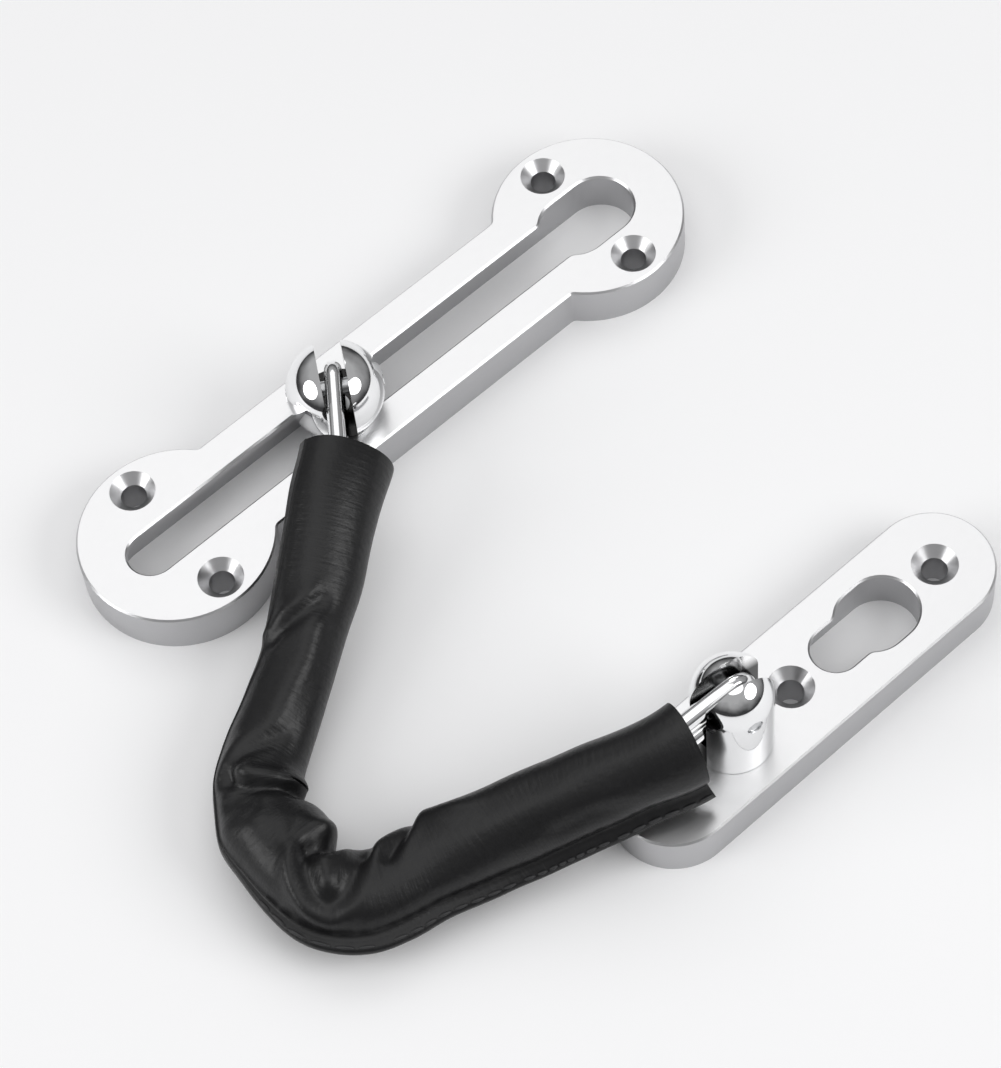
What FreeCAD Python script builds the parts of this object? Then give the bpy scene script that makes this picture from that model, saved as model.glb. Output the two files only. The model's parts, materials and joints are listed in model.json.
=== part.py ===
"""Door chain guard: a slotted track plate, a sliding ball, a sleeved chain and an anchor plate.

The origin is at the centre of the track plate, on its back face, and +Z points out of the door.
"""
import FreeCAD, Part
import math
import os
import Sketcher

Vector = FreeCAD.Vector
Rotation = FreeCAD.Rotation
UP = Vector(0, 0, 1)
TOLERANCE = 0.01

# Driving sizes in millimetres, as alias: value.
SIZES = {
    "plate_thickness": 9.0,
    "edge_chamfer": 0.35,
    "lip_thickness": 1.5,
    "undercut_radius": 6.9,
    "keyhole_round": 2.2,
    "screw_hole_diameter": 4.8,
    "screw_head_diameter": 8.5,
    "lobe_radius": 18.3,
    "lobe_offset": 50.65,
    "bar_half_width": 11.3,
    "bar_corner_radius": 1.3,
    "track_screw_offset": 12.65,
    "slot_radius": 4.55,
    "slot_far": 56.4,
    "keyhole_radius": 6.7,
    "keyhole_near": 47.2,
    "keyhole_far": 53.5,
    "anchor_radius": 11.2,
    "anchor_half_length": 31.73,
    "anchor_screw_near": 3.5,
    "anchor_screw_far": 32.1,
    "park_slot_radius": 4.55,
    "park_slot_near": 7.45,
    "park_radius": 6.6,
    "park_near": 16.4,
    "park_far": 19.0,
    "post_offset": 17.6,
    "slider_x": 11.83,
    "ball_radius": 9.13,
    "ball_height": 15.2,
    "ball_base": 9.3,
    "clevis_width": 5.0,
    "slider_slot_floor": 10.35,
    "slider_pin_height": 15.8,
    "slider_pin_length": 17.9,
    "pin_radius": 1.5,
    "pin_end_round": 0.3,
    "stud_head_radius": 6.2,
    "stud_head_thickness": 2.2,
    "stud_gap": 0.3,
    "stud_neck_radius": 4.2,
    "stud_spigot_radius": 2.2,
    "running_gap": 0.05,
    "post_radius": 7.32,
    "post_dome_height": 24.32,
    "post_slot_floor": 16.2,
    "post_pin_length": 14.0,
    "post_spigot_radius": 3.6,
    "post_spigot_end": 3.3,
    "post_screw_head_radius": 5.4,
    "post_screw_head_thickness": 2.4,
    "post_screw_radius": 1.9,
    "post_screw_slot_width": 1.0,
    "post_screw_slot_depth": 1.2,
    "counterbore_gap": 0.5,
    "post_screw_top": 12.0,
    "wire_diameter": 3.2,
    "link_length": 21.0,
    "link_width": 3.8,
    "link_gap": 0.25,
    "sleeve_width": 20.0,
    "sleeve_height": 13.6,
    "sleeve_wall": 1.2,
    "sleeve_start": 14.8,
    "sleeve_end": 11.0,
}

# The links as they lie, from the ball to the post: heading in plan and climb, in degrees.
LINK_HEADINGS = (-127.0, -141.7, -147.5, -155.3, -100.6, -34.6, -17.6, -33.2, -6.5)
LINK_CLIMBS = (3.0, -10.1, -10.9, -5.0, 0.0, 6.5, 12.3, 16.8, 11.0)
SLIDER_HEADING = -121.5
POST_HEADING = 169.0

doc = FreeCAD.newDocument("door_chain_guard")
sheet = doc.addObject("Spreadsheet::Sheet", "sizes")
for row, (alias, value) in enumerate(SIZES.items(), start=1):
    sheet.set(f"A{row}", alias)
    sheet.set(f"B{row}", str(value))
    sheet.setAlias(f"B{row}", alias)
doc.recompute()


def size(alias):
    """The number that the sheet holds under an alias."""
    return float(getattr(sheet, alias))


def bind(item, **expressions):
    """Bind properties to the sheet; a double underscore stands for a dot in a property's path."""
    for path, expression in expressions.items():
        item.setExpression(path.replace("__", "."), expression)


# ---------------------------------------------------------------- helpers for PartDesign bodies

def new_body(label):
    body = doc.addObject("PartDesign::Body", label)
    body.Label = label
    return body


def origin_plane(body, role):
    return next(item for item in body.Origin.OriginFeatures if item.Role == role)


def new_sketch(body, name, role="XY_Plane"):
    sketch = body.newObject("Sketcher::SketchObject", name)
    sketch.AttachmentSupport = [(origin_plane(body, role), "")]
    sketch.MapMode = "FlatFace"
    return sketch


def place_x(sketch, geometry, point, expression):
    """Set how far a point of a sketch lies along the sketch's X axis."""
    where = sketch.getPoint(geometry, point)
    index = sketch.addConstraint(Sketcher.Constraint("DistanceX", -1, 1, geometry, point, where.x))
    sketch.setExpression(f"Constraints[{index}]", expression)


def place_y(sketch, geometry, point, expression):
    """Set how far a point of a sketch lies along the sketch's Y axis."""
    where = sketch.getPoint(geometry, point)
    index = sketch.addConstraint(Sketcher.Constraint("DistanceY", -1, 1, geometry, point, where.y))
    sketch.setExpression(f"Constraints[{index}]", expression)


def circle(sketch, x, y, radius, x_expression, y_expression, radius_expression):
    """Add a circle whose centre and radius follow the sheet."""
    index = sketch.addGeometry(Part.Circle(Vector(x, y, 0), UP, radius), False)
    place_x(sketch, index, 3, x_expression)
    if y_expression is None:
        sketch.addConstraint(Sketcher.Constraint("PointOnObject", index, 3, -1))
    else:
        place_y(sketch, index, 3, y_expression)
    number = sketch.addConstraint(Sketcher.Constraint("Radius", index, radius))
    sketch.setExpression(f"Constraints[{number}]", radius_expression)


def stadium(sketch, low, high, radius, low_expression, high_expression, radius_expression):
    """Add a round-ended outline along the sketch's X axis, its end centres at low and high."""
    def arc(centre, first, last):
        ring = Part.Circle(Vector(centre, 0, 0), UP, radius)
        return Part.ArcOfCircle(ring, math.radians(first), math.radians(last))

    right = sketch.addGeometry(arc(high, -90, 90), False)
    top = sketch.addGeometry(Part.LineSegment(Vector(high, radius, 0), Vector(low, radius, 0)), False)
    left = sketch.addGeometry(arc(low, 90, 270), False)
    floor = sketch.addGeometry(Part.LineSegment(Vector(low, -radius, 0), Vector(high, -radius, 0)), False)
    for first, first_end, second, second_end in (
            (right, 2, top, 1), (top, 2, left, 1), (left, 2, floor, 1), (floor, 2, right, 1)):
        sketch.addConstraint(Sketcher.Constraint("Tangent", first, first_end, second, second_end))
    sketch.addConstraint(Sketcher.Constraint("Equal", right, left))
    sketch.addConstraint(Sketcher.Constraint("PointOnObject", right, 3, -1))
    sketch.addConstraint(Sketcher.Constraint("PointOnObject", left, 3, -1))
    place_x(sketch, right, 3, high_expression)
    place_x(sketch, left, 3, low_expression)
    number = sketch.addConstraint(Sketcher.Constraint("Radius", right, radius))
    sketch.setExpression(f"Constraints[{number}]", radius_expression)


def rectangle(sketch, half_length, half_width, length_expression, width_expression):
    """Add a rectangle centred on the sketch's origin, given by its half sizes."""
    corners = [Vector(half_length * a, half_width * b, 0) for a, b in ((-1, -1), (1, -1), (1, 1), (-1, 1))]
    for index in range(4):
        sketch.addGeometry(Part.LineSegment(corners[index], corners[(index + 1) % 4]), False)
    for index in range(4):
        sketch.addConstraint(Sketcher.Constraint("Coincident", index, 2, (index + 1) % 4, 1))
    for index, kind in enumerate(("Horizontal", "Vertical", "Horizontal", "Vertical")):
        sketch.addConstraint(Sketcher.Constraint(kind, index))
    place_x(sketch, 1, 2, length_expression)
    place_y(sketch, 1, 2, width_expression)
    place_x(sketch, 0, 1, f"-({length_expression})")
    place_y(sketch, 0, 1, f"-({width_expression})")


def pad(body, name, sketch, length_expression):
    feature = body.newObject("PartDesign::Pad", name)
    feature.Profile = sketch
    bind(feature, Length=length_expression)


def pocket_up(body, name, sketch, length_expression=None):
    """Cut upwards from a sketch on the back face, through everything if no length is given."""
    feature = body.newObject("PartDesign::Pocket", name)
    feature.Profile = sketch
    feature.Reversed = True
    if length_expression is None:
        feature.Type = "ThroughAll"
    else:
        bind(feature, Length=length_expression)


def edges_where(shape, test):
    """Names of the edges of a shape that pass a test."""
    return [f"Edge{number}" for number, edge in enumerate(shape.Edges, start=1) if test(edge)]


def is_upright(edge):
    box = edge.BoundBox
    return box.XLength < TOLERANCE and box.YLength < TOLERANCE


def dress(body, kind, name, edges, **expressions):
    """Fillet or chamfer the named edges of the body's last feature."""
    base = body.Tip
    feature = body.newObject(kind, name)
    feature.Base = (base, edges)
    bind(feature, **expressions)
    doc.recompute()


def add_primitive(body, kind, name, **expressions):
    """Add or cut a PartDesign cylinder, cone, box or sphere with its sizes bound."""
    feature = body.newObject(kind, name)
    feature.MapMode = "Deactivated"
    bind(feature, **expressions)
    return feature


def countersunk_holes(body, centres):
    """Cut screw holes countersunk into the top face at (x, y, x expression, y expression)."""
    sketch = new_sketch(body, body.Label + "_hole_centres")
    bind(sketch, AttachmentOffset__Base__z="sizes.plate_thickness")
    for x, y, x_expression, y_expression in centres:
        circle(sketch, x, y, size("screw_hole_diameter") / 2, x_expression, y_expression,
               "sizes.screw_hole_diameter / 2")
    doc.recompute()
    hole = body.newObject("PartDesign::Hole", body.Label + "_screw_holes")
    hole.Profile = sketch
    doc.recompute()
    hole.DepthType = "ThroughAll"
    hole.HoleCutType = "Countersink"
    hole.HoleCutCustomValues = True
    hole.HoleCutCountersinkAngle = 90
    bind(hole, Diameter="sizes.screw_hole_diameter", HoleCutDiameter="sizes.screw_head_diameter")
    doc.recompute()


def break_top_edges(body):
    """Chamfer the outline and the slot where they meet the top face, but not the countersinks."""
    top = size("plate_thickness")
    countersink = size("screw_head_diameter") / 2

    def is_rim(edge):
        box = edge.BoundBox
        if abs(box.ZMin - top) > TOLERANCE or abs(box.ZMax - top) > TOLERANCE:
            return False
        is_circle = isinstance(edge.Curve, Part.Circle)
        return not (is_circle and abs(edge.Curve.Radius - countersink) < TOLERANCE)

    edges = edges_where(body.Shape, is_rim)
    dress(body, "PartDesign::Chamfer", body.Label + "_top_chamfer", edges, Size="sizes.edge_chamfer")


def round_keyhole_shoulders(body):
    """Round the two upright edges where the narrow slot runs into the wide keyhole."""
    narrow = size("slot_radius")
    lip = size("lip_thickness")

    def is_shoulder(edge):
        middle = edge.CenterOfMass
        return (is_upright(edge) and abs(abs(middle.y) - narrow) < TOLERANCE
                and abs(edge.Length - lip) < TOLERANCE)

    def is_sharp(edge):
        faces = body.Shape.ancestorsOfType(edge, Part.Face)
        kinds = {type(face.Surface).__name__ for face in faces}
        radii = {face.Surface.Radius for face in faces if isinstance(face.Surface, Part.Cylinder)}
        return kinds == {"Plane", "Cylinder"} and max(radii) > narrow + TOLERANCE

    edges = edges_where(body.Shape, lambda edge: is_shoulder(edge) and is_sharp(edge))
    dress(body, "PartDesign::Fillet", body.Label + "_shoulders", edges, Radius="sizes.keyhole_round")


def cut_slot(body, name, low, high, radius, depth=None):
    """Cut a round-ended slot whose ends and radius are given as sheet expressions with a sign."""
    def value(expression):
        return -size(expression[1:]) if expression.startswith("-") else size(expression)

    def bound(expression):
        return f"-sizes.{expression[1:]}" if expression.startswith("-") else f"sizes.{expression}"

    sketch = new_sketch(body, name + "_outline")
    stadium(sketch, value(low), value(high), value(radius), bound(low), bound(high), bound(radius))
    pocket_up(body, name, sketch, depth)
    doc.recompute()


# ---------------------------------------------------------------- the two plates

def make_track_plate():
    body = new_body("track_plate")
    bar = new_sketch(body, "bar_outline")
    rectangle(bar, size("lobe_offset"), size("bar_half_width"), "sizes.lobe_offset", "sizes.bar_half_width")
    pad(body, "bar", bar, "sizes.plate_thickness")
    lobes = new_sketch(body, "lobe_outlines")
    for side, sign in ((-1, "-"), (1, "")):
        circle(lobes, side * size("lobe_offset"), 0, size("lobe_radius"),
               f"{sign}sizes.lobe_offset", None, "sizes.lobe_radius")
    pad(body, "lobes", lobes, "sizes.plate_thickness")
    doc.recompute()
    corners = edges_where(body.Shape, lambda edge: is_upright(edge)
                          and abs(abs(edge.CenterOfMass.y) - size("bar_half_width")) < TOLERANCE)
    dress(body, "PartDesign::Fillet", "bar_corners", corners, Radius="sizes.bar_corner_radius")
    cut_slot(body, "track_undercut", "-slot_far", "keyhole_far", "undercut_radius",
             "sizes.plate_thickness - sizes.lip_thickness")
    cut_slot(body, "track_slot", "-slot_far", "keyhole_far", "slot_radius")
    cut_slot(body, "track_keyhole", "keyhole_near", "keyhole_far", "keyhole_radius")
    round_keyhole_shoulders(body)
    x, y = size("lobe_offset"), size("track_screw_offset")
    countersunk_holes(body, [
        (a * x, b * y, f"{a} * sizes.lobe_offset", f"{b} * sizes.track_screw_offset")
        for a in (-1, 1) for b in (-1, 1)])
    break_top_edges(body)
    return body


def make_anchor_plate(placement):
    body = new_body("anchor_plate")
    outline = new_sketch(body, "anchor_outline")
    half = size("anchor_half_length")
    stadium(outline, -half, half, size("anchor_radius"),
            "-sizes.anchor_half_length", "sizes.anchor_half_length", "sizes.anchor_radius")
    pad(body, "anchor_slab", outline, "sizes.plate_thickness")
    cut_slot(body, "park_undercut", "park_slot_near", "park_far", "undercut_radius",
             "sizes.plate_thickness - sizes.lip_thickness")
    cut_slot(body, "park_slot", "park_slot_near", "park_far", "park_slot_radius")
    cut_slot(body, "park_keyhole", "park_near", "park_far", "park_radius")
    round_keyhole_shoulders(body)
    for name, radius, depth in (
            ("post_bore", "sizes.post_spigot_radius + sizes.running_gap", None),
            ("post_counterbore", "sizes.post_screw_head_radius + sizes.counterbore_gap",
             "sizes.post_spigot_end")):
        sketch = new_sketch(body, name + "_outline")
        circle(sketch, -size("post_offset"), 0, size("post_spigot_radius"),
               "-sizes.post_offset", None, radius)
        pocket_up(body, name, sketch, depth)
    doc.recompute()
    countersunk_holes(body, [
        (-size("anchor_screw_near"), 0, "-sizes.anchor_screw_near", None),
        (size("anchor_screw_far"), 0, "sizes.anchor_screw_far", None)])
    break_top_edges(body)
    body.Placement = placement
    return body


# ---------------------------------------------------------------- turned parts

def make_pin(label, length, placement):
    """A cross pin with rounded ends, centred on its origin and lying along its own Z axis."""
    body = new_body(label)
    add_primitive(body, "PartDesign::AdditiveCylinder", label + "_rod",
                  Radius="sizes.pin_radius", Height=f"sizes.{length}",
                  Placement__Base__z=f"-sizes.{length} / 2")
    doc.recompute()
    ends = edges_where(body.Shape, lambda edge: isinstance(edge.Curve, Part.Circle))
    dress(body, "PartDesign::Fillet", label + "_end_round", ends, Radius="sizes.pin_end_round")
    body.Placement = placement
    return body


def cut_clevis(body, floor, pin_height):
    """Saw a slot down to a floor along the body's X axis and drill the cross-pin hole along Y."""
    reach = "4 * sizes.ball_radius"
    add_primitive(body, "PartDesign::SubtractiveBox", body.Label + "_slot",
                  Length=reach, Width="sizes.clevis_width", Height=reach,
                  Placement__Base__x="-2 * sizes.ball_radius",
                  Placement__Base__y="-sizes.clevis_width / 2",
                  Placement__Base__z=f"sizes.{floor}")
    bore = add_primitive(body, "PartDesign::SubtractiveCylinder", body.Label + "_pin_hole",
                         Radius="sizes.pin_radius", Height=reach)
    bore.Placement = FreeCAD.Placement(Vector(0, 2 * size("ball_radius"), size(pin_height)),
                                       Rotation(Vector(1, 0, 0), 90))
    bind(bore, Placement__Base__y="2 * sizes.ball_radius", Placement__Base__z=f"sizes.{pin_height}")
    doc.recompute()


def make_slider_ball(placement):
    """The ball, cut flat just above the plate, with its slot, pin hole and the stud's hole."""
    body = new_body("slider_ball")
    add_primitive(body, "PartDesign::AdditiveSphere", "ball", Radius="sizes.ball_radius",
                  Angle1="-asin((sizes.ball_height - sizes.ball_base) / sizes.ball_radius)",
                  Placement__Base__z="sizes.ball_height")
    cut_clevis(body, "slider_slot_floor", "slider_pin_height")
    add_primitive(body, "PartDesign::SubtractiveCylinder", "stud_hole",
                  Radius="sizes.stud_spigot_radius + sizes.running_gap",
                  Height="sizes.slider_slot_floor")
    doc.recompute()
    body.Placement = placement
    return body


def stack(body, steps):
    """Pile cylinders on the body's Z axis, given as (name, radius, bottom, top) expressions."""
    for name, radius, bottom, top in steps:
        add_primitive(body, "PartDesign::AdditiveCylinder", name, Radius=radius,
                      Height=f"({top}) - ({bottom})", Placement__Base__z=bottom)
    doc.recompute()


def make_slider_stud(placement):
    """The stud whose head runs under the track's lips and whose spigot carries the ball."""
    body = new_body("slider_stud")
    under_lip = "sizes.plate_thickness - sizes.lip_thickness - sizes.stud_gap"
    seat = "sizes.ball_base - 2 * sizes.running_gap"
    stack(body, (
        ("stud_head", "sizes.stud_head_radius", f"{under_lip} - sizes.stud_head_thickness", under_lip),
        ("stud_neck", "sizes.stud_neck_radius", under_lip, seat),
        ("stud_spigot", "sizes.stud_spigot_radius", seat, "sizes.slider_slot_floor - sizes.running_gap")))
    body.Placement = placement
    return body


def make_anchor_post(placement):
    """The domed post with its slot and pin hole, and a spigot that turns in the anchor plate."""
    body = new_body("anchor_post")
    foot = "sizes.plate_thickness + 2 * sizes.running_gap"
    stack(body, (
        ("post_spigot", "sizes.post_spigot_radius", "sizes.post_spigot_end", foot),
        ("post_shaft", "sizes.post_radius", foot, "sizes.post_dome_height")))
    add_primitive(body, "PartDesign::AdditiveSphere", "post_dome", Radius="sizes.post_radius",
                  Angle1="0", Placement__Base__z="sizes.post_dome_height")
    cut_clevis(body, "post_slot_floor", "post_pin_height")
    add_primitive(body, "PartDesign::SubtractiveCylinder", "post_screw_hole",
                  Radius="sizes.post_screw_radius", Height="sizes.post_screw_top")
    doc.recompute()
    body.Placement = placement
    return body


def make_post_screw(placement):
    """The screw that holds the post from behind; its head sits in the plate's counterbore."""
    body = new_body("post_screw")
    seat = "sizes.post_spigot_end - 2 * sizes.running_gap"
    stack(body, (
        ("screw_head", "sizes.post_screw_head_radius", f"{seat} - sizes.post_screw_head_thickness", seat),
        ("screw_shank", "sizes.post_screw_radius", seat, "sizes.post_screw_top")))
    add_primitive(body, "PartDesign::SubtractiveBox", "screw_driver_slot",
                  Length="4 * sizes.post_screw_head_radius", Width="sizes.post_screw_slot_width",
                  Height="sizes.post_screw_slot_depth",
                  Placement__Base__x="-2 * sizes.post_screw_head_radius",
                  Placement__Base__y="-sizes.post_screw_slot_width / 2",
                  Placement__Base__z=f"{seat} - sizes.post_screw_head_thickness")
    doc.recompute()
    body.Placement = placement
    return body


# ---------------------------------------------------------------- the chain and its sleeve

def direction(heading, climb):
    """Unit vector of a heading in plan and a climb, both in degrees."""
    across = math.cos(math.radians(climb))
    return Vector(across * math.cos(math.radians(heading)), across * math.sin(math.radians(heading)),
                  math.sin(math.radians(climb)))


def lay_chain(first_pin):
    """The two crown centres of every link, and the far pin's centre.

    The crowns of neighbouring links hook into each other. Odd links stand upright and even links
    lie flat, so the hook's offset takes the even link's heading and the odd link's climb.
    """
    crown_span = size("link_length") + size("wire_diameter")
    hook = size("wire_diameter") + size("link_gap")
    pin_hook = size("pin_radius") + (size("wire_diameter") + size("link_gap")) / 2
    starts, ends = [], []
    start = first_pin - direction(LINK_HEADINGS[0], LINK_CLIMBS[0]) * pin_hook
    for index, (heading, climb) in enumerate(zip(LINK_HEADINGS, LINK_CLIMBS)):
        end = start + direction(heading, climb) * crown_span
        starts.append(start)
        ends.append(end)
        if index + 1 < len(LINK_HEADINGS):
            flat, upright = (index + 1, index) if index % 2 == 0 else (index, index + 1)
            start = end - direction(LINK_HEADINGS[flat], LINK_CLIMBS[upright]) * hook
    last_pin = ends[-1] - direction(LINK_HEADINGS[-1], LINK_CLIMBS[-1]) * pin_hook
    return starts, ends, last_pin


def make_link(number, start, end, heading, climb):
    """A round-ended wire link; an odd link stands upright on its edge."""
    label = f"link_{number:02d}"
    body = new_body(label)
    spine = new_sketch(body, label + "_spine")
    radius = (size("link_width") + size("wire_diameter")) / 2
    half = (size("link_length") - size("link_width")) / 2
    stadium(spine, -half, half, radius,
            "-(sizes.link_length - sizes.link_width) / 2", "(sizes.link_length - sizes.link_width) / 2",
            "(sizes.link_width + sizes.wire_diameter) / 2")
    section = new_sketch(body, label + "_wire", "YZ_Plane")
    circle(section, radius, 0, size("wire_diameter") / 2,
           "(sizes.link_width + sizes.wire_diameter) / 2", None, "sizes.wire_diameter / 2")
    doc.recompute()
    pipe = body.newObject("PartDesign::AdditivePipe", label + "_pipe")
    pipe.Profile = section
    pipe.Spine = (spine, ["Edge2", "Edge3", "Edge4", "Edge1"])
    doc.recompute()
    turn = Rotation(UP, heading).multiply(Rotation(Vector(0, 1, 0), -climb))
    if number % 2 == 1:
        turn = turn.multiply(Rotation(Vector(1, 0, 0), 90))
    body.Placement = FreeCAD.Placement((start + end) * 0.5, turn)
    return body


def sleeve_ring(centre, before, after, half_width, half_height):
    """A round-ended section of the sleeve in the plane that halves the bend at a joint."""
    along = (before + after).normalize()
    level = UP.cross(along).normalize()
    upward = along.cross(level).normalize()
    flat = half_width / math.cos(before.getAngle(after) / 2) - half_height

    def point(across, height):
        return centre + level * across + upward * height

    corners = [point(flat, -half_height), point(flat, half_height),
               point(-flat, half_height), point(-flat, -half_height)]
    return Part.Wire([
        Part.Arc(corners[0], point(flat + half_height, 0), corners[1]).toShape(),
        Part.LineSegment(corners[1], corners[2]).toShape(),
        Part.Arc(corners[2], point(-flat - half_height, 0), corners[3]).toShape(),
        Part.LineSegment(corners[3], corners[0]).toShape()])


def make_sleeve_span(number, first, last):
    """One span of the flattened leather tube, between two rings given as (centre, before, after)."""
    half_width, half_height = size("sleeve_width") / 2, size("sleeve_height") / 2
    wall = size("sleeve_wall")
    base = first[0]
    rings = [(centre - base, before, after) for centre, before, after in (first, last)]
    skin = Part.makeLoft([sleeve_ring(*ring, half_width, half_height) for ring in rings], True, True)
    hollow = Part.makeLoft([sleeve_ring(*ring, half_width - wall, half_height - wall) for ring in rings],
                           True, True)
    label = f"sleeve_{number:02d}"
    span = doc.addObject("Part::Feature", label)
    span.Label = label
    span.Shape = skin.cut(hollow)
    span.Placement = FreeCAD.Placement(base, Rotation())
    return span


def make_chain(starts, ends, first_pin, last_pin):
    parts = []
    ways = [direction(heading, climb) for heading, climb in zip(LINK_HEADINGS, LINK_CLIMBS)]
    for number, (start, end) in enumerate(zip(starts, ends), start=1):
        parts.append(make_link(number, start, end, LINK_HEADINGS[number - 1], LINK_CLIMBS[number - 1]))
    rings = [(first_pin + ways[0] * size("sleeve_start"), ways[0], ways[0])]
    for index in range(len(ways) - 1):
        rings.append(((ends[index] + starts[index + 1]) * 0.5, ways[index], ways[index + 1]))
    rings.append((last_pin - ways[-1] * size("sleeve_end"), ways[-1], ways[-1]))
    for number in range(1, len(rings)):
        parts.append(make_sleeve_span(number, rings[number - 1], rings[number]))
    return parts


# ---------------------------------------------------------------- the whole object

def standing(x, y, heading):
    """A placement on the door's face, turned to a heading."""
    return FreeCAD.Placement(Vector(x, y, 0), Rotation(UP, heading))


def crosswise(centre, heading):
    """A placement for a cross pin: level, and square to a heading."""
    return FreeCAD.Placement(centre, Rotation(UP, heading).multiply(Rotation(Vector(1, 0, 0), 90)))


def make_all():
    slider_x = -size("slider_x")
    first_pin = Vector(slider_x, 0, size("slider_pin_height"))
    starts, ends, last_pin = lay_chain(first_pin)
    row = len(SIZES) + 1
    sheet.set(f"A{row}", "post_pin_height")
    sheet.set(f"B{row}", str(round(last_pin.z, 3)))
    sheet.setAlias(f"B{row}", "post_pin_height")
    doc.recompute()
    slider_seat = standing(slider_x, 0, SLIDER_HEADING)
    post_seat = standing(last_pin.x, last_pin.y, POST_HEADING)
    parts = [make_track_plate(), make_slider_stud(slider_seat), make_slider_ball(slider_seat)]
    parts.append(make_pin("slider_pin", "slider_pin_length", crosswise(first_pin, SLIDER_HEADING)))
    parts.extend(make_chain(starts, ends, first_pin, last_pin))
    parts.append(make_pin("anchor_pin", "post_pin_length", crosswise(last_pin, POST_HEADING)))
    parts.append(make_anchor_post(post_seat))
    parts.append(make_post_screw(post_seat))
    parts.append(make_anchor_plate(standing(last_pin.x + size("post_offset"), last_pin.y, 0)))
    print("link start crowns", [tuple(round(v, 3) for v in p) for p in starts])
    print("link end crowns", [tuple(round(v, 3) for v in p) for p in ends])
    print("far pin", tuple(round(v, 3) for v in last_pin))
    return parts


def check_and_write(parts):
    doc.recompute()
    for item in doc.Objects:
        if "Invalid" in item.State or "Error" in item.State:
            raise RuntimeError(f"{item.Name} failed: {item.State}")
    for part in parts:
        if part.Shape.isNull() or not part.Shape.isValid():
            raise RuntimeError(f"{part.Label} has no valid shape")
    os.makedirs("parts", exist_ok=True)
    for part in parts:
        part.Shape.exportStep(f"parts/{part.Label}.step")
        box = part.Shape.BoundBox
        print(f"{part.Label:14s} solids {len(part.Shape.Solids)} volume {part.Shape.Volume:9.1f}"
              f"  x {box.XMin:7.2f} {box.XMax:7.2f}  y {box.YMin:7.2f} {box.YMax:7.2f}"
              f"  z {box.ZMin:6.2f} {box.ZMax:6.2f}")


check_and_write(make_all())
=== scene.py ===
"""Looks of the door chain guard: satin plates, mirror ball and post, wire chain and leather sleeve."""

import json
import math

import bpy
import numpy as np
from mathutils import Matrix, Vector
from mathutils.bvhtree import BVHTree


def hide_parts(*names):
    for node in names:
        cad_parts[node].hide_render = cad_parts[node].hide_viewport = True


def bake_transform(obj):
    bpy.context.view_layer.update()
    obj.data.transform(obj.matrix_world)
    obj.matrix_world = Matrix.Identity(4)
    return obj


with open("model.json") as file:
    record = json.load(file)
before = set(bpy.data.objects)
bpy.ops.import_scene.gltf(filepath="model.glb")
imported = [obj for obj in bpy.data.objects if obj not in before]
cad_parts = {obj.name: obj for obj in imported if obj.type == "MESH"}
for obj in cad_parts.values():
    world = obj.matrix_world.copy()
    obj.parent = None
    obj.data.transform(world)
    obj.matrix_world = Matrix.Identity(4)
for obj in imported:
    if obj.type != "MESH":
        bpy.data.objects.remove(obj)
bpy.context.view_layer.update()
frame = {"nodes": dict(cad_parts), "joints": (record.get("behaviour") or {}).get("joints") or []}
MM = 0.001


# ---------------------------------------------------------------- materials
def new_material(name, colour, metallic, roughness):
    """A material of one finish, with its nodes, links and shader, for more detail to be added."""
    mat = bpy.data.materials.new(name)
    mat.use_nodes = True
    shader = mat.node_tree.nodes["Principled BSDF"]
    shader.inputs["Base Color"].default_value = (*colour, 1)
    shader.inputs["Metallic"].default_value = metallic
    shader.inputs["Roughness"].default_value = roughness
    return mat, mat.node_tree.nodes, mat.node_tree.links, shader


def stretched_noise(nodes, links, stretch, scale, detail):
    """Noise in the object's own coordinates, drawn out along one axis by stretch."""
    where = nodes.new("ShaderNodeTexCoord")
    shape = nodes.new("ShaderNodeMapping")
    shape.inputs["Scale"].default_value = stretch
    noise = nodes.new("ShaderNodeTexNoise")
    noise.inputs["Scale"].default_value = scale
    noise.inputs["Detail"].default_value = detail
    links.new(where.outputs["Object"], shape.inputs["Vector"])
    links.new(shape.outputs["Vector"], noise.inputs["Vector"])
    return noise.outputs["Fac"]


def spread_value(nodes, links, value, low, high):
    """Maps a 0 to 1 value onto low to high."""
    ramp = nodes.new("ShaderNodeMapRange")
    ramp.inputs["To Min"].default_value = low
    ramp.inputs["To Max"].default_value = high
    links.new(value, ramp.inputs["Value"])
    return ramp.outputs["Result"]


def bump(nodes, links, shader, height, strength, distance):
    """Raises the surface by a 0 to 1 height."""
    node = nodes.new("ShaderNodeBump")
    node.inputs["Strength"].default_value = strength
    node.inputs["Distance"].default_value = distance
    links.new(height, node.inputs["Height"])
    links.new(node.outputs["Normal"], shader.inputs["Normal"])


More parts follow.
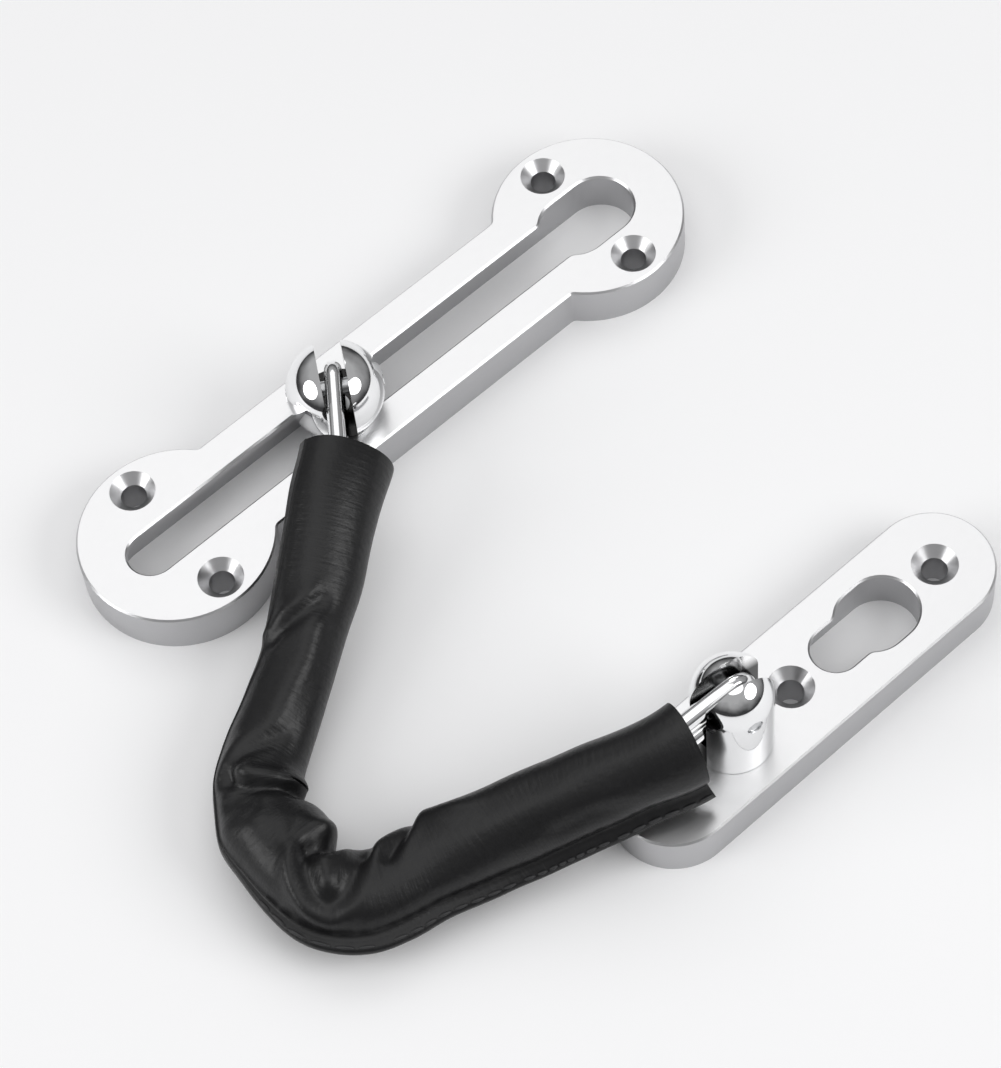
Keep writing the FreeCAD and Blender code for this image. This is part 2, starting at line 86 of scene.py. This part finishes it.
def satin_plate():
    """Ground faces with short fine scratches along the plate; the upright sides get a darker base colour as
    painted shade.
    """
    mat, nodes, links, shader = new_material("satin_plate", (0.83, 0.83, 0.835), 1.0, 0.3)
    brushed = stretched_noise(nodes, links, (250, 1600, 1600), 2, 4)
    links.new(spread_value(nodes, links, brushed, 0.26, 0.38), shader.inputs["Roughness"])
    bump(nodes, links, shader, brushed, 0.1, 0.00005)
    # Painted shade: the base colour darkens from the flat tops to the upright sides, by how steep the face
    # is.
    shape = nodes.new("ShaderNodeNewGeometry")
    split = nodes.new("ShaderNodeSeparateXYZ")
    steep = nodes.new("ShaderNodeMath")
    steep.operation = "ABSOLUTE"
    painted_shade = nodes.new("ShaderNodeValToRGB")
    painted_shade.color_ramp.elements[0].position = 0.55
    painted_shade.color_ramp.elements[0].color = (0.5, 0.5, 0.51, 1)
    painted_shade.color_ramp.elements[1].position = 0.9
    painted_shade.color_ramp.elements[1].color = (0.83, 0.83, 0.835, 1)
    links.new(shape.outputs["Normal"], split.inputs[0])
    links.new(split.outputs["Z"], steep.inputs[0])
    links.new(steep.outputs[0], painted_shade.inputs["Fac"])
    links.new(painted_shade.outputs["Color"], shader.inputs["Base Color"])
    return mat


def mirror_chrome(name, colour, low, high):
    """Polished metal with a faint uneven haze."""
    mat, nodes, links, shader = new_material(name, colour, 1.0, low)
    haze = stretched_noise(nodes, links, (1, 1, 1), 260, 4)
    links.new(spread_value(nodes, links, haze, low, high), shader.inputs["Roughness"])
    return mat


def slotted_chrome(name, hinge):
    """Polished chrome that turns dull in the sawn slot, which lies square to the hinge's pin, with painted
    shade that darkens the slot deeper down.
    """
    mat, nodes, links, shader = new_material(name, CHROME_COLOUR, 1.0, 0.04)
    haze = stretched_noise(nodes, links, (1, 1, 1), 260, 4)
    where = nodes.new("ShaderNodeTexCoord")
    from_pin = nodes.new("ShaderNodeVectorMath")
    from_pin.operation = "SUBTRACT"
    from_pin.inputs[1].default_value = hinge["pos_m"]
    along_pin = nodes.new("ShaderNodeVectorMath")
    along_pin.operation = "DOT_PRODUCT"
    along_pin.inputs[1].default_value = hinge["axis"]
    across = nodes.new("ShaderNodeMath")
    across.operation = "ABSOLUTE"
    inside = nodes.new("ShaderNodeMapRange")
    inside.inputs["From Min"].default_value = 0.00252
    inside.inputs["From Max"].default_value = 0.00256
    # Painted shade: inside the slot the chrome colour gives way to a grey that darkens with depth, near
    # black just above the pin.
    painted_shade = nodes.new("ShaderNodeMix")
    painted_shade.data_type = "RGBA"
    split = nodes.new("ShaderNodeSeparateXYZ")
    painted_depth_shade = nodes.new("ShaderNodeMapRange")
    painted_depth_shade.inputs["From Min"].default_value = 0.0005
    painted_depth_shade.inputs["From Max"].default_value = 0.0045
    painted_depth_shade.inputs["To Min"].default_value = 0.03
    painted_depth_shade.inputs["To Max"].default_value = 0.85
    painted_shade.inputs["B"].default_value = (*CHROME_COLOUR, 1)
    rough = nodes.new("ShaderNodeMix")
    rough.inputs["A"].default_value = 0.14
    links.new(where.outputs["Object"], from_pin.inputs[0])
    links.new(from_pin.outputs["Vector"], along_pin.inputs[0])
    links.new(along_pin.outputs["Value"], across.inputs[0])
    links.new(across.outputs[0], inside.inputs["Value"])
    links.new(from_pin.outputs["Vector"], split.inputs[0])
    links.new(split.outputs["Z"], painted_depth_shade.inputs["Value"])
    links.new(painted_depth_shade.outputs["Result"], painted_shade.inputs["A"])
    links.new(inside.outputs["Result"], painted_shade.inputs["Factor"])
    links.new(inside.outputs["Result"], rough.inputs["Factor"])
    links.new(spread_value(nodes, links, haze, 0.03, 0.07), rough.inputs["B"])
    links.new(painted_shade.outputs["Result"], shader.inputs["Base Color"])
    links.new(rough.outputs["Result"], shader.inputs["Roughness"])
    return mat


def turned_steel():
    """Steel with the fine rings that a lathe leaves."""
    mat, nodes, links, shader = new_material("turned_steel", (0.62, 0.63, 0.64), 1.0, 0.32)
    rings = stretched_noise(nodes, links, (200, 200, 2600), 1, 2)
    links.new(spread_value(nodes, links, rings, 0.24, 0.42), shader.inputs["Roughness"])
    bump(nodes, links, shader, rings, 0.2, 0.0001)
    return mat


def black_leather():
    """Thin coated leather: fine grain lines across the sleeve over soft pores."""
    mat, nodes, links, shader = new_material("black_leather", (0.006, 0.006, 0.0065), 0.0, 0.36)
    across = nodes.new("ShaderNodeUVMap")
    across.uv_map = "grain"
    drawn = nodes.new("ShaderNodeMapping")
    drawn.inputs["Scale"].default_value = (14, 150, 1)
    noise = nodes.new("ShaderNodeTexNoise")
    noise.inputs["Scale"].default_value = 1
    noise.inputs["Detail"].default_value = 3
    links.new(across.outputs["UV"], drawn.inputs["Vector"])
    links.new(drawn.outputs["Vector"], noise.inputs["Vector"])
    pores = stretched_noise(nodes, links, (1, 1, 1), 900, 3)
    both = nodes.new("ShaderNodeMath")
    both.operation = "MULTIPLY_ADD"
    both.inputs[1].default_value = 1.1
    links.new(noise.outputs["Fac"], both.inputs[0])
    links.new(pores, both.inputs[2])
    links.new(spread_value(nodes, links, pores, 0.3, 0.46), shader.inputs["Roughness"])
    shader.inputs["Specular IOR Level"].default_value = 0.38
    bump(nodes, links, shader, both.outputs[0], 0.4, 0.00018)
    return mat


def black_thread():
    """Twisted thread, duller than the leather."""
    mat, nodes, links, shader = new_material("black_thread", (0.02, 0.02, 0.021), 0.0, 0.55)
    twist = stretched_noise(nodes, links, (1, 1, 1), 3000, 2)
    bump(nodes, links, shader, twist, 0.4, 0.0001)
    return mat


CHROME_COLOUR = (0.9, 0.905, 0.91)
HINGES = {joint["name"]: joint for joint in frame["joints"]}
PLATE = satin_plate()
WIRE = mirror_chrome("polished_wire", (0.88, 0.885, 0.89), 0.06, 0.13)
STEEL = turned_steel()
LEATHER = black_leather()
THREAD = black_thread()

finishes = {
    "track_plate": PLATE,
    "anchor_plate": PLATE,
    "slider_ball": slotted_chrome("ball_chrome", HINGES["slider_pin_hinge"]),
    "anchor_post": slotted_chrome("post_chrome", HINGES["anchor_pin_hinge"]),
    "slider_pin": STEEL,
    "anchor_pin": STEEL,
    "slider_stud": STEEL,
    "post_screw": STEEL,
}
for node, piece in frame["nodes"].items():
    piece.data.materials.clear()
    piece.data.materials.append(finishes.get(node, LEATHER if node.startswith("sleeve") else WIRE))


# ---------------------------------------------------------------- the leather sleeve
# The sleeve's sections: place along the chain, shift towards the seam's side, lift, half width,
# half thickness, tilt in degrees and how far the sewn lip stands out. Millimetres.
SECTIONS = [
    (15.5, -1.0, 0, 8.9, 6.0, 35, 0.3),
    (24, 0.7, 0, 8.6, 6.2, 34, 0.3),
    (32, 1.1, 0, 8.1, 6.3, 32, 0.3),
    (40, 0.9, 0, 7.9, 6.3, 30, 0.3),
    (48, 0.9, 0, 7.2, 6.4, 27, 0.3),
    (56, 0.5, 0, 6.8, 6.4, 24, 0.3),
    (64, 0.2, 0, 7.1, 6.4, 20, 0.3),
    (72, -1.4, 0, 7.6, 6.3, 15, 0.3),
    (79, -3.2, 0.6, 7.9, 6.7, 11, 0.3),
    (85, -3.3, 1.0, 7.7, 7.1, 8, 0.4),
    (91, -2.2, 1.2, 8.2, 7.4, 6, 0.6),
    (97, -2.0, 1.3, 8.0, 7.6, 3, 1.1),
    (103, -1.1, 1.3, 7.8, 7.6, 1, 1.8),
    (109, 0.3, 1.0, 7.9, 7.3, -2, 2.6),
    (115, 1.0, 0.6, 7.6, 6.8, -6, 3.0),
    (121, 0.1, 0.2, 7.3, 6.4, -11, 3.1),
    (128, -1.5, 0, 7.4, 6.2, -17, 3.0),
    (136, -1.0, 0, 7.6, 6.2, -24, 3.2),
    (144, 0.6, 0, 7.6, 6.2, -31, 3.3),
    (152, 0.9, 0, 7.4, 6.2, -36, 3.4),
    (160, -0.4, 0, 7.4, 6.2, -42, 3.5),
    (167, -1.3, 0, 7.1, 6.1, -47, 3.6),
    (175, 0.2, 0, 7.7, 6.0, -52, 3.7),
]
# Creases pressed into the sleeve: depth, width, how far the skin before it stands over the skin
# after it, and the points it runs through, each a place along the chain and an angle round the
# section (0 at the seam, 90 on top, 180 inside the bend). A negative depth raises a fold instead.
CREASES = [
    (1.1, 1.1, 0.5, [(42.5, 92), (45.5, 84), (48, 68), (51, 46), (54, 22), (56.5, 4)]),
    (-1.1, 2.3, 0.0, [(45, 90), (51, 88), (57, 86), (66, 82), (73, 74)]),
    (1.1, 1.1, 0.5, [(68, 112), (73, 88), (77, 62), (80.5, 46), (82.5, 38), (83.5, 56)]),
    (1.3, 1.1, 1.2, [(80.5, 34), (82.5, 48), (84, 70), (85.5, 100), (87.3, 135), (89, 165), (90, 190)]),
    (1.3, 2.6, 0.0, [(85, 34), (86.5, 52), (88, 74), (88.5, 92)]),
    (-1.7, 3.6, 0.0, [(93, 200), (95, 180), (99.5, 162), (102, 140), (103, 122)]),
    (-0.7, 3.4, 0.0, [(90, 58), (93, 76), (97, 94), (99, 108)]),
    (2.5, 1.5, 0.5, [(110, 210), (109.5, 190), (109, 152), (106.5, 125), (104, 104), (102.5, 92)]),
    (
        *(1.5, 1.4, 0.0),
        [(103, 104), (105.5, 86), (108, 68), (110.5, 52), (113, 74), (115, 104), (116.5, 140), (117, 175)],
    ),
    (-1.1, 1.7, 0.0, [(99.5, 102), (102.5, 82), (105.5, 64), (108.5, 46), (111, 32)]),
    (-0.9, 1.8, 0.0, [(107, 150), (108.5, 120), (110.3, 92), (111, 66)]),
    (0.5, 1.8, 0.0, [(115, 215), (116, 200), (117, 165), (118, 130), (120, 106)]),
    (1.5, 1.2, 0.6, [(130, 215), (129, 200), (126.5, 170), (124, 142), (121.5, 118), (120, 100)]),
    (-0.8, 2.4, 0.0, [(126, 182), (130, 170), (135, 150), (142, 132)]),
    (-0.4, 2.2, 0.0, [(128, 84), (138, 92), (149, 98), (162, 104)]),
    (0.4, 1.6, 0.0, [(146, 56), (152, 60), (159, 64), (167, 58)]),
]
# How far the mouths at the ball and at the post are cut on the slant, and how far in that is felt.
SLANTS = (2.4, 3.6)
SLANT_RUN = 16
# How near a link may lie under the skin before the hide is lifted, and the hide left over the link.
REACH = 2.5
COVER = 0.55
COVER_SPREADS = 12
# Where along the chain the seam is stitched, and the stitches' pitch and length in rows.
STITCHED = (100, 174)
STITCH_PITCH = 5
STITCH_ROWS = 3
STITCH_RADIUS = 0.33
STITCH_CORNERS = 8
STITCH_RINGS = 7
# The hide's thickness, the rows' spacing, and the points round the tube and over the lip.
WALL = 1.1
STEP = 0.5
ROUND = 88
LIP_STEPS = 9
SEAM_GAP = 0.16
SQUARENESS = 0.92
# The chain line's points between two hinges, its even spacing and the reach of its smoothing in points.
LINE_POINTS = 60
LINE_STEP = 0.25
LINE_REACH = 41


def chain_line():
    """Places along the chain, the smooth line through them from pin to pin, and each hinge's place."""
    names = ["slider_pin_hinge", "link_2_swing", "link_3_lift", "link_4_swing", "link_5_lift"]
    names += ["link_6_swing", "link_7_lift", "link_8_swing", "link_9_lift", "anchor_pin_hinge"]
    knots = np.array([HINGES[name]["pos_m"] for name in names]) / MM
    ends = np.vstack([2 * knots[0] - knots[1], knots, 2 * knots[-1] - knots[-2]])
    t = np.linspace(0, 1, LINE_POINTS, endpoint=False)[:, None]
    runs = [
        0.5 * (2 * b + (c - a) * t + (2 * a - 5 * b + 4 * c - d) * t**2 + (3 * b - a - 3 * c + d) * t**3)
        for a, b, c, d in zip(ends[:-3], ends[1:-2], ends[2:-1], ends[3:])
    ]
    line = np.vstack([*runs, knots[-1:]])
    length = np.r_[0, np.cumsum(np.linalg.norm(np.diff(line, axis=0), axis=1))]
    even = np.arange(0, length[-1], LINE_STEP)
    line = np.stack([np.interp(even, length, line[:, k]) for k in range(3)], 1)
    hinge_at = [even[np.argmin(np.linalg.norm(line - knot, axis=1))] for knot in knots]
    weights = np.hanning(LINE_REACH + 2)[1:-1]
    steps = np.arange(1, LINE_REACH + 1)[:, None]
    before = line[0] - (line[1] - line[0]) * steps[::-1]
    after = line[-1] + (line[-1] - line[-2]) * steps
    padded = np.vstack([before, line, after])
    soft = np.stack([np.convolve(padded[:, k], weights / weights.sum(), "same") for k in range(3)], 1)
    return even, soft[LINE_REACH:-LINE_REACH], hinge_at


def curve_through(rows, at):
    """Smooth values of each column of rows at the given places along."""
    rows = np.array(rows, float)
    x = rows[:, 0]
    i = np.clip(np.searchsorted(x, at) - 1, 0, len(x) - 2)
    step = x[i + 1] - x[i]
    t = (at - x[i]) / step
    columns = []
    for y in rows[:, 1:].T:
        slope = np.gradient(y, x)
        columns.append(
            (2 * t**3 - 3 * t**2 + 1) * y[i]
            + (t**3 - 2 * t**2 + t) * step * slope[i]
            + (3 * t**2 - 2 * t**3) * y[i + 1]
            + (t**3 - t**2) * step * slope[i + 1]
        )
    return columns


def rows_at(even, line, at):
    """Point and the outward, upward directions of the chain line at each place."""
    along = np.gradient(line, axis=0)
    point = np.stack([np.interp(at, even, line[:, k]) for k in range(3)], 1)
    along = np.stack([np.interp(at, even, along[:, k]) for k in range(3)], 1)
    along /= np.linalg.norm(along, axis=1)[:, None]
    outward = np.cross(along, (0, 0, 1))
    outward /= np.linalg.norm(outward, axis=1)[:, None]
    return point, outward, np.cross(outward, along)


def section_points(wide, thick, lip):
    """Each row's outer points, round the tube and then out along the lip and back, and its inner points."""
    angle = np.linspace(SEAM_GAP, 2 * math.pi - SEAM_GAP, ROUND)
    c, s = np.cos(angle), np.sin(angle)
    x = wide[:, None] * (np.sign(c) * abs(c) ** SQUARENESS)
    y = thick[:, None] * (np.sign(s) * abs(s) ** SQUARENESS)
    out = np.array([0.12, 0.35, 0.7, 0.93, 1.0, 0.93, 0.7, 0.35, 0.12])
    flat = np.array([-1.15, -1.05, -1.05, -0.75, 0, 0.75, 1.05, 1.05, 1.15])
    lip_x = wide[:, None] + lip[:, None] * out
    lip_y = np.repeat(flat[None], len(wide), 0)
    outer = np.concatenate([x, lip_x], 1), np.concatenate([y, lip_y], 1)
    turn = np.concatenate([angle, np.linspace(-SEAM_GAP * 0.8, SEAM_GAP * 0.8, LIP_STEPS)])
    inner = (wide - WALL)[:, None] * np.cos(turn), (thick - WALL)[:, None] * np.sin(turn)
    return outer, inner


def normals_of(grid):
    """Outward normals of a grid whose rows go along and whose columns go round."""
    down = np.gradient(grid, axis=0)
    over = np.roll(grid, -1, 1) - np.roll(grid, 1, 1)
    normal = np.cross(over, down)
    normal /= np.linalg.norm(normal, axis=2, keepdims=True) + 1e-12
    centre = grid.mean(1, keepdims=True)
    return normal * np.sign(((grid - centre) * normal).sum(2).mean())


def distance_to_run(points, run):
    """Distance of each point from a polyline, and the nearest place on it, counted in its points."""
    best, share = np.full(points.shape[:-1], 1e9), np.zeros(points.shape[:-1])
    for k, (a, b) in enumerate(zip(run[:-1], run[1:])):
        d = b - a
        t = np.clip(((points - a) @ d) / (d @ d), 0, 1)
        gap = np.linalg.norm(points - a - t[..., None] * d, axis=-1)
        closer = gap < best
        best = np.where(closer, gap, best)
        share = np.where(closer, k + t, share)
    return best, share


def shape_sleeve():
    """The whole sleeve's outer and inner grids in millimetres, with each row's place along."""
    even, line, hinge_at = chain_line()
    first, last = SECTIONS[0][0], SECTIONS[-1][0]
    at = np.linspace(first, last, int((last - first) / STEP) + 1)
    side, lift, wide, thick, tilt, lip = curve_through(SECTIONS, at)
    point, outward, upward = rows_at(even, line, at)
    along = np.cross(upward, outward)
    turn = np.radians(tilt)[:, None]
    across = np.cos(turn) * outward + np.sin(turn) * upward
    raised = np.cos(turn) * upward - np.sin(turn) * outward
    centre = point + side[:, None] * outward + lift[:, None] * upward
    slant = sum(
        reach * np.clip(1 - abs(at - mouth) / SLANT_RUN, 0, 1) ** 1.5
        for mouth, reach in zip((first, last), SLANTS)
    )
    outer, inner = (
        centre[:, None] + x[..., None] * across[:, None] + y[..., None] * raised[:, None]
        + (slant[:, None] * (1 - np.clip(x / wide[:, None], -1, 1)) / 2)[..., None] * along[:, None]
        for x, y in section_points(wide, thick, lip)
    )
    normal = normals_of(outer)

    def on_skin(place, angle):
        row = np.interp(place, at, np.arange(len(at)))
        column = (np.radians(angle % 360) - SEAM_GAP) / (2 * math.pi - 2 * SEAM_GAP) * (ROUND - 1)
        return outer[int(round(row)), int(round(np.clip(column, 0, ROUND - 1)))]

    push = np.zeros(outer.shape[:2])
    for depth, width, step, places in CREASES:
        gap, share = distance_to_run(outer, np.array([on_skin(*place) for place in places]))
        fade = np.clip(np.minimum(share, len(places) - 1 - share) / 0.9, 0, 1)
        fade = fade**2 * (3 - 2 * fade)
        beyond = at[:, None] - np.interp(share, np.arange(len(places)), [place[0] for place in places])
        push -= fade * step * np.tanh(beyond / 0.8) * np.exp(-((gap / (2.4 * width)) ** 2))
        if depth > 0:
            bank = 0.3 * np.exp(-(((gap - 2.1 * width) / width) ** 2))
            push += fade * depth * (bank - np.exp(-((gap / width) ** 1.5)))
        else:
            push -= fade * depth * np.exp(-((gap / width) ** 2))
    outer = outer + push[..., None] * normal
    inner = inner + np.minimum(push, 0)[..., None] * normal
    return at, hinge_at, outer, inner


def cover_links(grid, normal):
    """The skin, lifted where needed so that the hide lies over the links and no link comes through."""
    corners, faces = [], []
    for node, piece in frame["nodes"].items():
        if node.startswith("link"):
            faces.extend([len(corners) + v for v in face.vertices] for face in piece.data.polygons)
            corners.extend(piece.matrix_world @ vertex.co for vertex in piece.data.vertices)
    links = BVHTree.FromPolygons(corners, faces)
    give = np.zeros(grid.shape[:2])
    for row, column in np.ndindex(len(grid), ROUND):
        out = Vector(normal[row, column])
        hit = links.ray_cast(Vector(grid[row, column] * MM) + out * REACH * MM, -out, 2 * REACH * MM)
        if hit[0] is not None:
            give[row, column] = max(0, REACH + COVER - hit[3] / MM)
    spread = give
    for _ in range(COVER_SPREADS):
        spread = (np.roll(spread, 1, 1) + np.roll(spread, -1, 1) + 2 * spread) / 4
        spread[1:-1] = (spread[2:] + spread[:-2] + 2 * spread[1:-1]) / 4
        spread = np.maximum(spread, give)
    return grid + spread[..., None] * normal


def soften_rows(grid, times):
    """Takes the sharpest corners off a grid, as hide does."""
    for _ in range(times):
        mean = (np.roll(grid, 1, 1) + np.roll(grid, -1, 1)) / 2
        mean[1:-1] = (mean[1:-1] + (grid[2:] + grid[:-2]) / 2) / 2
        grid = grid + 0.5 * (mean - grid) * np.r_[np.ones(ROUND), np.zeros(LIP_STEPS)][None, :, None]
    return grid


def sleeve_span(name, at, outer, inner, normals, low, high):
    """A closed shell of hide between two rows, with the skin's own normals, so spans meet without a line."""
    rows, around = high - low + 1, outer.shape[1]
    count = rows * around
    points = np.concatenate([outer[low : high + 1].reshape(-1, 3), inner[low : high + 1].reshape(-1, 3)])
    rims = [outer[low], inner[low], outer[high], inner[high]]
    points = np.concatenate([points, *rims])
    faces = []
    for i in range(rows - 1):
        for j in range(around):
            k = (j + 1) % around
            a, b, c, d = i * around + j, i * around + k, (i + 1) * around + k, (i + 1) * around + j
            faces.append((a, d, c, b))
            faces.append((count + a, count + b, count + c, count + d))
    base = 2 * count
    for start, flip in ((base, False), (base + 2 * around, True)):
        for j in range(around):
            k = (j + 1) % around
            quad = (start + k, start + j, start + around + j, start + around + k)
            faces.append(quad if flip else quad[::-1])
    mesh = bpy.data.meshes.new(name)
    mesh.from_pydata((points * MM).tolist(), [], faces)
    mesh.update()
    mesh.shade_smooth()
    grain = mesh.uv_layers.new(name="grain")
    round_mm = np.r_[0, np.cumsum(np.linalg.norm(np.diff(outer[len(outer) // 2], axis=0), axis=1))]
    place = np.stack(np.broadcast_arrays(round_mm[None], at[low : high + 1, None]), -1).reshape(-1, 2)
    rim_places = [np.stack([round_mm, np.full(around, at[r])], 1) for r in (low, low, high, high)]
    place = np.concatenate([place, place, *rim_places])
    corner = np.zeros(len(mesh.loops), np.int32)
    mesh.loops.foreach_get("vertex_index", corner)
    grain.data.foreach_set("uv", (place[corner] * 0.01).ravel().astype(np.float32))
    skin = normals[low : high + 1].reshape(-1, 3)
    facing = [outer[low].mean(0) - outer[low + 2].mean(0), outer[high].mean(0) - outer[high - 2].mean(0)]
    flat = [np.repeat((v / np.linalg.norm(v))[None], 2 * around, 0) for v in facing]
    mesh.normals_split_custom_set_from_vertices(np.concatenate([skin, -skin, *flat]).tolist())
    mesh.materials.append(LEATHER)
    piece = bpy.data.objects.new(name, mesh)
    bpy.context.scene.collection.objects.link(piece)
    return piece


def follow_links(piece, ring_low, ring_high):
    """Works out where a span's straight ends lie between its two links, and bakes the span's placement into
    its mesh.
    """
    a, b = ring_low.mean(0), ring_high.mean(0)
    way = (b - a) / np.linalg.norm(b - a)
    start = a + way * max(0.05, ((ring_low - a) @ way).max() + 0.05)
    end = b - way * max(0.05, -((ring_high - b) @ way).min() + 0.05)
    if (end - start) @ way < 1:
        start, end = (start + end) / 2 - way / 2, (start + end) / 2 + way / 2
    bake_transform(piece)


def stitch_run(name, at, outer, normals, low, high):
    """The seam's thread on both faces of the lip between two rows: short stitches pulled into the hide."""
    points, faces = [], []
    ring = np.linspace(0, 2 * math.pi, STITCH_CORNERS, endpoint=False)
    lip_faces = (ROUND + LIP_STEPS - 3, ROUND + 2)
    for column in lip_faces:
        for row in range(low + 2, high - 3, STITCH_PITCH):
            if not STITCHED[0] < at[row] < STITCHED[1]:
                continue
            a, b = outer[row, column], outer[row + STITCH_ROWS, column]
            way = (b - a) / np.linalg.norm(b - a)
            out = normals[row, column]
            across = np.cross(way, out)
            across /= np.linalg.norm(across)
            first = len(points)
            for share in np.linspace(0, 1, STITCH_RINGS):
                swell = math.sin(math.pi * (0.08 + 0.84 * share))
                middle = a + (b - a) * (share * 1.35 - 0.17) + out * (0.16 * swell - 0.06)
                radius = STITCH_RADIUS * swell**0.5
                points.extend(
                    middle + radius * (math.cos(t) * across + 0.8 * math.sin(t) * out) for t in ring
                )
            for a in range(first, len(points) - STITCH_CORNERS, STITCH_CORNERS):
                b = a + STITCH_CORNERS
                for j in range(STITCH_CORNERS):
                    k = (j + 1) % STITCH_CORNERS
                    faces.append([a + j, a + k, b + k, b + j])
            faces.append([first + j for j in range(STITCH_CORNERS)][::-1])
            faces.append([len(points) - STITCH_CORNERS + j for j in range(STITCH_CORNERS)])
    if not points:
        return None
    mesh = bpy.data.meshes.new(name)
    mesh.from_pydata((np.array(points) * MM).tolist(), [], faces)
    mesh.update()
    mesh.shade_smooth()
    mesh.materials.append(THREAD)
    thread = bpy.data.objects.new(name, mesh)
    bpy.context.scene.collection.objects.link(thread)
    return thread


def make_sleeve():
    """Cuts the sleeve midway between the hinges, and makes each span and its thread in place of the sleeve
    parts, which it hides.
    """
    at, hinge_at, outer, inner = shape_sleeve()
    outer = soften_rows(outer, 6)
    outer = soften_rows(cover_links(outer, normals_of(outer)), 1)
    normals = normals_of(outer)
    middles = [(a + b) / 2 for a, b in zip(hinge_at[:-1], hinge_at[1:])]
    inside = [int(round((m - at[0]) / STEP)) for m in middles if at[0] + 2 < m < at[-1] - 2]
    cuts = [0, *inside, len(at) - 1]
    for number, (low, high) in enumerate(zip(cuts[:-1], cuts[1:]), 1):
        piece = sleeve_span(f"sleeve_hide_{number}", at, outer, inner, normals, low, high)
        follow_links(piece, outer[low], outer[high])
        stands_for = [f"sleeve_{number:02d}"] + (["sleeve_09"] if number == len(cuts) - 1 else [])
        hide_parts(*stands_for)
        thread = stitch_run(f"sleeve_thread_{number}", at, outer, normals, low, high)
        if thread:
            follow_links(thread, outer[low], outer[high])


make_sleeve()


# ---------------------------------------------------------------- room, light and camera
def aimed(place, side, up, back):
    """A world matrix from a place and the directions of its three axes."""
    turn = np.array([side, up, back]).T
    return Matrix([[*row, p] for row, p in zip(turn, place)] + [[0, 0, 0, 1]])


def soft_box(name, place, aim, size, power):
    """An oval lamp at a place, turned to shine at another."""
    data = bpy.data.lights.new(name, "AREA")
    data.shape = "ELLIPSE"
    data.size, data.size_y = size
    data.energy = power
    lamp = bpy.data.objects.new(name, data)
    bpy.context.scene.collection.objects.link(lamp)
    back = (np.array(place) - np.array(aim)) / np.linalg.norm(np.array(place) - np.array(aim))
    side = np.cross((0, 0, 1), back)
    side = side / np.linalg.norm(side)
    lamp.matrix_world = aimed(place, side, np.cross(back, side), back)


def make_floor():
    """A plain pale floor, wide enough to fill every view."""
    mesh = bpy.data.meshes.new("floor")
    half = 3.0
    corners = [(-half, -half, 0), (half, -half, 0), (half, half, 0), (-half, half, 0)]
    mesh.from_pydata(corners, [], [(0, 1, 2, 3)])
    floor = bpy.data.objects.new("floor", mesh)
    bpy.context.scene.collection.objects.link(floor)
    mesh.materials.append(new_material("paper_floor", (0.92, 0.92, 0.925), 0.0, 0.75)[0])


def make_camera():
    """Looks at the object from the front left, from well above, with a slight roll."""
    data = bpy.data.cameras.new("camera")
    data.sensor_width = 36
    data.lens = 120.95
    data.clip_start, data.clip_end = 0.05, 20
    cam = bpy.data.objects.new("camera", data)
    bpy.context.scene.collection.objects.link(cam)
    yaw, pitch, roll = (math.radians(v) for v in (36.376, 58.794, 6.627))
    forward = np.array([math.sin(yaw) * math.cos(pitch), math.cos(yaw) * math.cos(pitch), -math.sin(pitch)])
    level = np.array([math.cos(yaw), -math.sin(yaw), 0])
    down = np.cross(forward, level)
    right = math.cos(roll) * level + math.sin(roll) * down
    low = -math.sin(roll) * level + math.cos(roll) * down
    place = np.array([-206.50, -309.69, 560.01]) * MM
    cam.matrix_world = aimed(place, right, -low, -forward)
    bpy.context.scene.camera = cam


def make_world():
    """A room that is dark near the floor and pale above, with soft clouds for the chrome to mirror."""
    world = bpy.data.worlds.new("studio")
    world.use_nodes = True
    nodes, links = world.node_tree.nodes, world.node_tree.links
    where = nodes.new("ShaderNodeTexCoord")
    split = nodes.new("ShaderNodeSeparateXYZ")
    ramp = nodes.new("ShaderNodeValToRGB")
    ramp.color_ramp.elements[0].position = 0.05
    ramp.color_ramp.elements[0].color = (0.06, 0.06, 0.062, 1)
    ramp.color_ramp.elements[1].position = 0.62
    ramp.color_ramp.elements[1].color = (0.55, 0.55, 0.555, 1)
    links.new(where.outputs["Generated"], split.inputs[0])
    cloud = nodes.new("ShaderNodeTexNoise")
    cloud.inputs["Scale"].default_value = 1.6
    height = nodes.new("ShaderNodeMath")
    height.operation = "MULTIPLY_ADD"
    height.inputs[1].default_value = 0.7
    middle = nodes.new("ShaderNodeMath")
    middle.operation = "SUBTRACT"
    middle.inputs[1].default_value = 0.35
    links.new(where.outputs["Generated"], cloud.inputs["Vector"])
    links.new(cloud.outputs["Fac"], height.inputs[0])
    links.new(split.outputs["Z"], height.inputs[2])
    links.new(height.outputs[0], middle.inputs[0])
    links.new(middle.outputs[0], ramp.inputs["Fac"])
    links.new(ramp.outputs["Color"], nodes["Background"].inputs["Color"])
    nodes["Background"].inputs["Strength"].default_value = 0.75
    bpy.context.scene.world = world


make_floor()
make_camera()
make_world()
soft_box("back_box", (0.34, 0.46, 0.94), (0.0, -0.04, 0), (1.2, 0.8), 1.9)
soft_box("left_box", (-0.85, 0.3, 0.5), (-0.03, -0.04, 0), (0.75, 0.6), 3.6)
soft_box("right_box", (0.4, -0.75, 0.6), (0, -0.05, 0), (0.7, 0.55), 3.6)
soft_box("top_box", (-0.16, -0.2, 1.25), (0, -0.05, 0), (1.5, 1.0), 3.8)
bpy.context.scene.view_settings.view_transform = "Standard"
